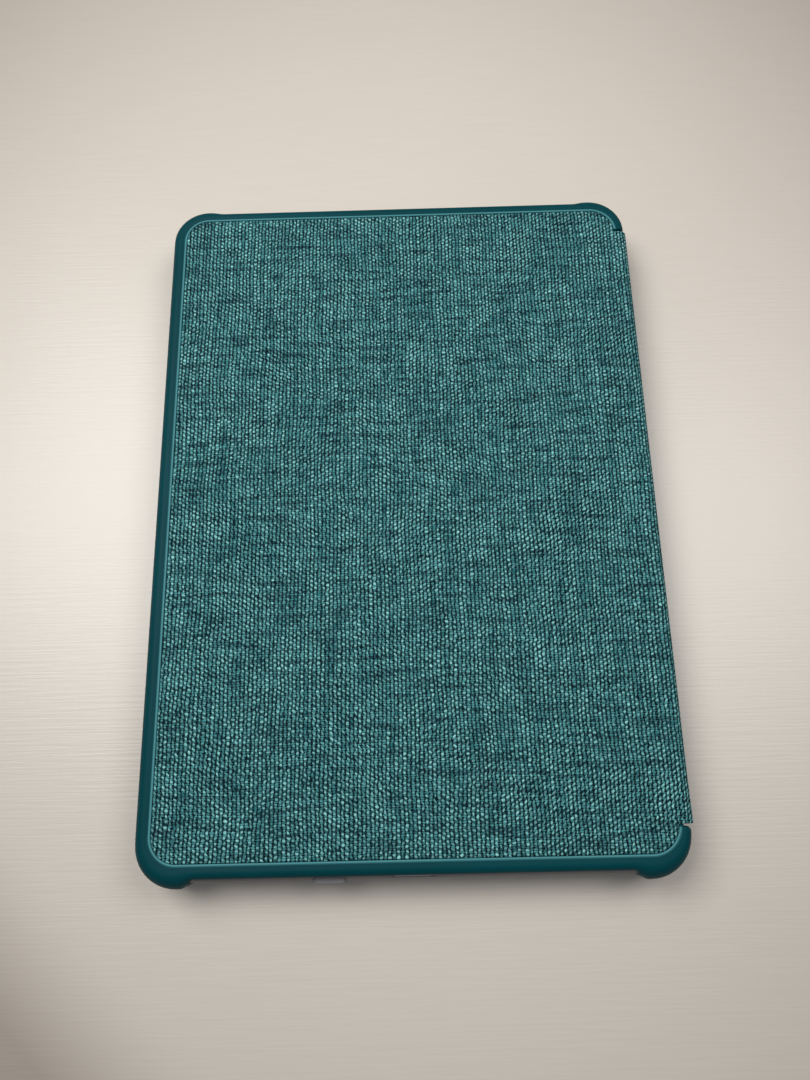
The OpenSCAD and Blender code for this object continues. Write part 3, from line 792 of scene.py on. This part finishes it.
def flap_cloth(run_start):
    """Fabric from half the spine's height, round the lower fold and over the flap.

    Rows run as on the back. Inside the turned edge the face is flat on the table; past
    it each edge point moves along the outline's outward direction by the hem profile.
    """
    along, out, up = (np.concatenate([[0], part]) for part in hem_profile())
    hem = len(along) - 1
    x0, x1, _, y1 = inset(FLAP, HEM_R)
    r = FLAP_R - HEM_R
    down = np.linspace(SPINE_MID, FOLD_R, 7)
    turn = np.radians(np.linspace(0, 90, 13))[1:]
    arc_x = FOLD_X + FOLD_R * np.cos(turn)
    arc_z = FOLD_R - FOLD_R * np.sin(turn)
    corner = r * np.sin(np.radians(np.linspace(90, 0, 15)))
    middle = np.linspace(x1 - r, x0 + r, 60)[1:-1]
    xs = np.concatenate([[x1 + 0.3], x1 - r + corner, middle, (x0 + r - corner)[::-1]])
    row_x = np.concatenate([np.full(len(down), SPINE_X), arc_x, xs, np.full(hem, x0)])
    row_z = np.concatenate([down, arc_z, np.zeros(len(xs) + hem)])
    rows = len(row_x)
    run = np.concatenate([[0], np.cumsum(np.hypot(np.diff(row_x), np.diff(row_z)))]) + run_start
    row_hem = np.zeros(rows, int)
    row_hem[rows - hem:] = np.arange(1, hem + 1)
    off = np.maximum(row_x - (x1 - r), 0) - np.maximum(x0 + r - row_x, 0)
    strip = row_x > x1 + 0.01
    cut = np.sqrt(np.maximum(r * r - off ** 2, 0))
    half = np.where(strip, SPINE_Y, y1 - r + cut)
    share = np.linspace(-1, 1, 91)
    border = np.repeat(half[:, None], hem, 1)
    y = np.concatenate([-border, half[:, None] * share, border], 1)
    flat_columns = np.zeros(len(share), int)
    column_hem = np.concatenate([np.arange(hem, 0, -1), flat_columns, np.arange(1, hem + 1)])
    side = np.sign(y) * (column_hem > 0)
    level = np.maximum(row_hem[:, None], column_hem[None, :])
    level = np.where(strip[:, None], 0, level)
    normal_x = np.broadcast_to((off / r)[:, None], y.shape)
    normal_y = np.where(column_hem > 0, side * (cut / r)[:, None], 0)
    normal_x = np.where((row_hem > 0)[:, None], -1.0, normal_x)
    normal_y = np.where((row_hem > 0)[:, None], 0.0, normal_y)
    x = row_x[:, None] + normal_x * out[level]
    z = row_z[:, None] + up[level]
    v = y + normal_y * along[level]
    u = run[:, None] - normal_x * along[level]
    y = y + normal_y * out[level]
    x = x + spine_flare(y, z) * strip[:, None]
    points = np.stack([x, y, z], -1)
    weave = np.stack([u, v], -1)
    piece = make_piece("flap_cloth", points, weave=weave, outward=False, sharp=60)
    return thicken(piece, CLOTH_T)


def flip_if_inward(piece, probe):
    """Turns the faces round where the face nearest to a probe point looks away from it."""
    mesh = piece.data
    nearest = min(mesh.polygons, key=lambda p: (p.center - probe).length)
    if nearest.normal.dot(probe - nearest.center) < 0:
        mesh.flip_normals()


FOLD_ARC = math.pi / 2 * FOLD_R
cut_box = inset(PANEL, BACK_GAP)
cut_strip = FOLD_X - cut_box[1] + FOLD_ARC + BACK_Z - FOLD_R - SPINE_MID
back_flat, back_area = cloth_cut(cut_box, [radius - BACK_GAP for radius in PANEL_R], cut_strip)
cloth, seam_run = back_cloth()
flip_if_inward(cloth, Vector((0, 0, 0.1)))
dress(cloth, WEAVE, None, ["back_fabric"], LINING)
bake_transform(cloth)

cut_box = inset(FLAP, HEM_R)
cut_strip = FOLD_X - cut_box[1] + FOLD_ARC + SPINE_MID - FOLD_R
hem_length = float(hem_profile()[0][-1])
flap_flat, flap_area = cloth_cut(cut_box, [FLAP_R - HEM_R] * 2, cut_strip, hem_length)
cloth = flap_cloth(seam_run)
flip_if_inward(cloth, Vector((0, 0, -0.1)))
dress(cloth, WEAVE, None, ["flap_fabric", "spine_fabric"], LINING)
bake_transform(cloth)


# ---- Linings ----

def soft_plate(name, box, radius, low, high, edge, swap=False):
    """Flat pad with round corners and a round edge on its upper side.

    swap stands it on its side, with its upper side towards +X.
    """
    along_x, along_y = np.linspace(box[0], box[1], 24), np.linspace(box[2], box[3], 30)
    angle = np.radians([0, 22.5, 45, 67.5, 90])
    inward = np.concatenate([[0.3, 0.0], edge * (1 - np.cos(angle)), [edge + 1.2]])
    height = np.concatenate([[low, low + 0.08], high - edge + edge * np.sin(angle), [high]])
    rings = [ring(inset(box, d), radius - d, along_x, along_y, 12) for d in inward]
    points = stack_rings(rings, height)
    if swap:
        points = points[..., [2, 1, 0]]
    return make_piece(name, points, closed=True, caps=True, sharp=50)


lining = soft_plate("flap_lining_cloth", inset(FLAP, 0.8), FLAP_R - 0.8, 1.9, 2.4, 0.3)
dress(lining, LINING, "front_cover", ["flap_lining"])
spine_face = (1.35, 11.65, -SPINE_Y, SPINE_Y)
lining = soft_plate("spine_lining_cloth", spine_face, 1.3, -55.0, -54.5, 0.3, swap=True)
# mirrored, so that its round edge faces the reader
lining.data.transform(Matrix.Diagonal((-1, 1, 1, 1)))
lining.data.flip_normals()
dress(lining, LINING, "spine", ["spine_lining"])


# ---- Reader ----

READER_BOX = (
    READER_X - READER_HALF[0], READER_X + READER_HALF[0], -READER_HALF[1], READER_HALF[1])


def stadium(x, z, width, height, y, turn=20):
    """Closed bar outline with round ends in the plane y = constant."""
    angle = np.linspace(-math.pi / 2, math.pi / 2, turn)
    r = height / 2
    right = np.stack([x + width / 2 - r + r * np.cos(angle), z + r * np.sin(angle)], -1)
    left = np.stack([x - width / 2 + r - r * np.cos(angle), z - r * np.sin(angle)], -1)
    outline = np.concatenate([right, left])
    return np.stack([outline[:, 0], np.full(len(outline), y), outline[:, 1]], -1)


def bar(name, x, z, sections):
    """Bar through stadium sections, each a (width, height, y)."""
    points = np.stack([stadium(x, z, w, h, y) for w, h, y in sections], 1)
    return make_piece(name, points, closed=True, caps=True, sharp=40)


def carve(piece, cutters):
    """Cuts the cutters out of the piece, exactly, and removes them."""
    for cutter in cutters:
        cut = piece.modifiers.new("cut", "BOOLEAN")
        cut.object, cut.operation, cut.solver = cutter, "DIFFERENCE", "EXACT"
    bpy.context.view_layer.update()
    shaped = piece.evaluated_get(bpy.context.evaluated_depsgraph_get())
    mesh = bpy.data.meshes.new_from_object(shaped)
    piece.modifiers.clear()
    piece.data = mesh
    mesh.set_sharp_from_angle(angle=math.radians(35))
    for cutter in cutters:
        bpy.data.objects.remove(cutter)
    return piece


def housing():
    """Shell of the reader: wall and back with a round edge, hollow, with the openings cut."""
    angle = np.radians(np.linspace(0, 90, 13))
    wall = 1.2
    round_in = READER_EDGE_R * (1 - np.cos(angle))
    round_z = READER_BACK - READER_EDGE_R + READER_EDGE_R * np.sin(angle)
    inward = np.concatenate([[wall + 2.0, wall + 1.2, wall, wall, 0.12, 0.0], round_in])
    inside = [READER_BACK - 1.0, READER_BACK - 1.0, READER_BACK - 1.6]
    height = np.concatenate([inside, [SEAM_Z, SEAM_Z, SEAM_Z + 0.12], round_z])
    along_x, along_y = np.linspace(-48, 48, 30), np.linspace(-72, 72, 40)
    rings = [ring(inset(READER_BOX, d), max(READER_R - d, 1), along_x, along_y, 18) for d in inward]
    shell = make_piece("reader_case", stack_rings(rings, height), closed=True, caps=True, sharp=35)
    edge = -READER_HALF[1]
    cutters = [
        bar(name, x, PORT_Z, [(width, high, edge - 1), (width, high, edge + deep)])
        for name, x, width, high, deep in (
            ("cut_port", READER_X, 9.2, 3.6, 3.0),
            ("cut_recess", BUTTON_X, 7.6, 3.6, 0.7),
            ("cut_button", BUTTON_X, 7.4, 2.6, 1.7),
            ("cut_light", BUTTON_X + 6.5, 1.0, 0.999, 3.0))
    ]
    return carve(shell, cutters)


def bezel():
    """Front frame: a section with a round outer edge and a slanted edge at the screen."""
    opening = inset(SCREEN, -0.6)
    along_x, along_y = np.linspace(-44, 44, 30), np.linspace(-64, 64, 40)
    angle = np.radians(np.linspace(0, 90, 7))
    edge_r = 0.45
    outer = [(0.0, FILM_Z)]
    outer += [(edge_r * (1 - math.cos(a)), FACE_Z + edge_r - edge_r * math.sin(a)) for a in angle]
    inner = [
        (-0.62, FACE_Z), (-0.5, FACE_Z + 0.02), (-0.4, FACE_Z + 0.09), (-0.1, FACE_Z + 0.7),
        (0.0, FILM_Z - 0.12), (0.0, FILM_Z)]
    rings = [ring(inset(READER_BOX, d), READER_R - d, along_x, along_y, 16) for d, _ in outer]
    rings += [ring(inset(opening, d), 1.1, along_x, along_y, 16) for d, _ in inner]
    points = stack_rings(rings, [z for _, z in outer + inner])
    points = np.concatenate([points, points[:, :1]], 1)
    return make_piece("front_frame", points, closed=True, sharp=35)


def pane(name, low, high):
    """Clear sheet over the screen, a little thinner than its place so that no faces meet."""
    box = inset(SCREEN, -2.5)
    along_x, along_y = np.linspace(box[0], box[1], 12), np.linspace(box[2], box[3], 16)
    points = stack_rings([ring(box, 0.3, along_x, along_y, 4)] * 2, [low, high])
    return make_piece(name, points, closed=True, caps=True, sharp=30)


def button():
    """Power button: a bar with a round front edge and a flange behind the housing's wall."""
    angle = np.radians([90, 60, 30, 0])
    edge_r, front_y = 0.3, -READER_HALF[1] - 0.7
    round_in = edge_r * (1 - np.cos(angle))
    round_y = front_y + edge_r * (1 - np.sin(angle))
    sections = [(7 - 2 * d, 2.2 - 2 * d, y) for d, y in zip(round_in, round_y)]
    sections += [(7, 2.2, -77.65), (8.8, 2.9, -77.6), (8.8, 2.9, -77.0)]
    return bar("power_key", BUTTON_X, PORT_Z, sections)


touch_film = see_through("etched_cover_film", (0.85, 0.87, 0.88, 1), 0.16, 0.38)
guide_film = see_through("light_guide_film", (0.9, 0.92, 0.93, 1), 0.1, 0.3)
dress(housing(), HOUSING_PLASTIC, "tray", ["reader_housing"])
dress(bezel(), BEZEL_PLASTIC, "tray", ["front_bezel"])
cover_film = pane("cover_film", FILM_Z + 0.01, GUIDE_Z - 0.03)
dress(cover_film, touch_film, "tray", ["touch_sensor"])
light_sheet = pane("light_sheet", GUIDE_Z + 0.01, PANEL_Z - 0.04)
dress(light_sheet, guide_film, "tray", ["light_guide"])
dress(button(), BUTTON_PLASTIC, "power_button", ["power_button"])


# ---- Table, light and camera ----

def table_top():
    """Flat square in metres, a hair under the part so that no faces meet."""
    half, level = 2.0, -2e-5
    corners = [(-half, -half, level), (half, -half, level), (half, half, level), (-half, half, level)]
    mesh = bpy.data.meshes.new("table_top")
    mesh.from_pydata(corners, [], [(0, 1, 2, 3)])
    top = bpy.data.objects.new("table_top", mesh)
    bpy.context.scene.collection.objects.link(top)
    mesh.materials.append(painted_table("pale_satin_table"))


table_top()


def soft_light(name, place, size, power, colour):
    """Square area light of a size in metres, aimed at the part."""
    data = bpy.data.lights.new(name, "AREA")
    data.shape, data.size, data.size_y = "RECTANGLE", size, size
    data.energy, data.color = power, colour
    lamp = bpy.data.objects.new(name, data)
    lamp.location = place
    lamp.rotation_euler = (-Vector(place)).to_track_quat("-Z", "Y").to_euler()
    bpy.context.scene.collection.objects.link(lamp)


soft_light("key_light", (-0.23, 0.16, 0.50), 0.3, 2.25, (1.0, 0.985, 0.96))
soft_light("side_light", (0.27, 0.13, 0.50), 0.26, 1.1, (1.0, 0.965, 0.955))

world = bpy.data.worlds.new("room")
world.use_nodes = True
background = world.node_tree.nodes["Background"]
background.inputs["Color"].default_value = (0.9, 0.93, 1.0, 1)
background.inputs["Strength"].default_value = 0.24
bpy.context.scene.world = world
bpy.context.scene.view_settings.view_transform = "Standard"

camera = bpy.data.objects.new("camera", bpy.data.cameras.new("camera"))
camera.data.sensor_fit = "AUTO"
camera.data.sensor_width = 36.0
camera.data.lens = 26.973
camera.data.clip_start = 0.01
camera.location = (0.00115, -0.0590, 0.18485)
camera.rotation_euler = tuple(math.radians(a) for a in (16.216, 0.848, -1.269))
bpy.context.scene.collection.objects.link(camera)
bpy.context.scene.camera = camera
